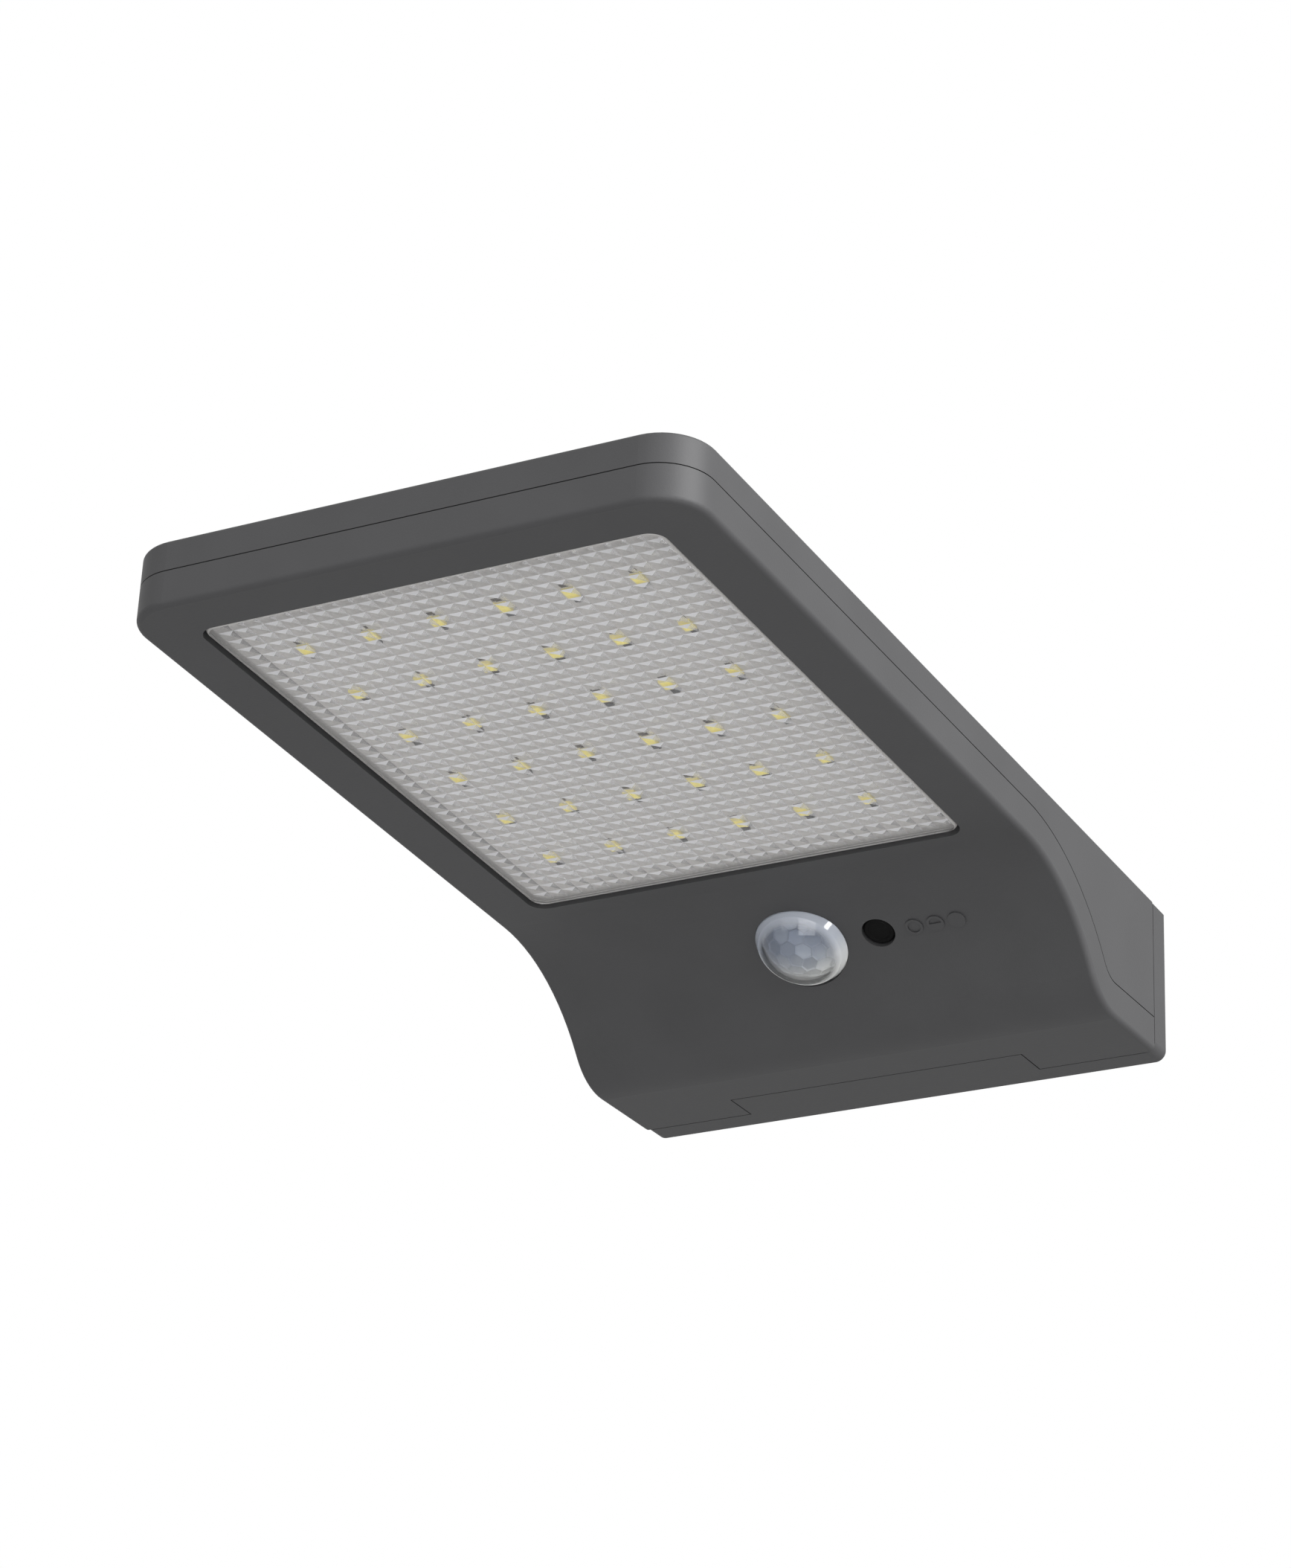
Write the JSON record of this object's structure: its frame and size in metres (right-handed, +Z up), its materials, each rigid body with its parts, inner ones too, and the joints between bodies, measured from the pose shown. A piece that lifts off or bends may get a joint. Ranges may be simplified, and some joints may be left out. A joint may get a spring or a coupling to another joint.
{
  "type": "solar wall lamp with motion sensor",
  "caption": "Flat solar lamp on a wall bracket, with a prismatic lens over a grid of LEDs, a motion-sensor dome and a recessed mode button.",
  "frame": {"origin": "centre of the wall bracket's back face", "axes": "+Z up, +Y into the wall, +X to the right of someone who faces the wall; the head's free end is at -Y"},
  "size_m": [0.133, 0.241, 0.0494],
  "materials": {
    "shell_plastic": "fine moulded grain, dark grey ABS",
    "black_plastic": "moulded black ABS",
    "seal_rubber": "silicone cord",
    "foam_pad": "closed-cell adhesive pad",
    "button_rubber": "black silicone",
    "panel_board": "glass-epoxy board",
    "silicon_cell": "dark blue silicon wafer",
    "tinned_ribbon": "tinned copper ribbon",
    "clear_laminate": "clear laminate",
    "clear_lens": "clear acrylic with square prisms",
    "white_board": "white solder mask",
    "led_plastic": "white reflector plastic",
    "phosphor": "yellow phosphor silicone",
    "chip_black": "black epoxy and ceramic",
    "plug_plastic": "natural nylon",
    "screw_steel": "zinc-plated steel",
    "dome_plastic": "milky polyethylene",
    "can_metal": "nickel-plated can",
    "filter_window": "infrared filter",
    "green_board": "green solder mask",
    "capacitor_can": "aluminium can",
    "switch_body": "black thermoplastic",
    "plunger_plastic": "red thermoplastic",
    "battery_sleeve": "blue sleeve over a steel can",
    "nickel": "nickel-plated steel",
    "lead_white": "PVC insulation",
    "lead_red": "PVC insulation",
    "lead_black": "PVC insulation"
  },
  "bodies": {
    "bracket": {"wall_bracket": "shell_plastic"},
    "lamp": {"top_shell": "shell_plastic", "bottom_shell": "shell_plastic", "dome_holder": "black_plastic", "battery_cradle": "black_plastic", "seam_gasket": "seal_rubber", "lens_seal": "seal_rubber", "dome_seal": "seal_rubber", "panel_pad": "foam_pad", "panel_backing": "panel_board", "solar_cells": "silicon_cell", "cell_ribbons": "tinned_ribbon", "panel_cover": "clear_laminate", "prism_lens": "clear_lens", "led_board": "white_board", "led_packages": "led_plastic", "led_phosphor": "phosphor", "led_resistors": "chip_black", "control_chips": "chip_black", "led_board_plug": "plug_plastic", "control_plugs": "plug_plastic", "led_board_screws": "screw_steel", "control_board_screws": "screw_steel", "cradle_screws": "screw_steel", "pir_dome": "dome_plastic", "pir_sensor": "can_metal", "pir_window": "filter_window", "control_board": "green_board", "control_capacitor": "capacitor_can", "tact_switch": "switch_body", "battery_cell": "battery_sleeve", "battery_terminal": "nickel", "battery_strips": "nickel", "led_leads": "lead_white", "panel_leads": "lead_white", "battery_lead_red": "lead_red", "battery_lead_black": "lead_black"},
    "button": {"mode_button": "button_rubber", "switch_plunger": "plunger_plastic"}
  },
  "joints": [
    {"name": "lamp_lift", "type": "slide", "parent": "bracket", "child": "lamp", "axis": [0, 0, 1], "range_m": [0, 0.008]},
    {"name": "mode_button_press", "type": "slide", "parent": "lamp", "child": "button", "axis": [0, 0.515, 0.8572], "range_m": [0, 0.0004], "stiffness_N_per_m": 900, "springref_m": -0.0006}
  ]
}
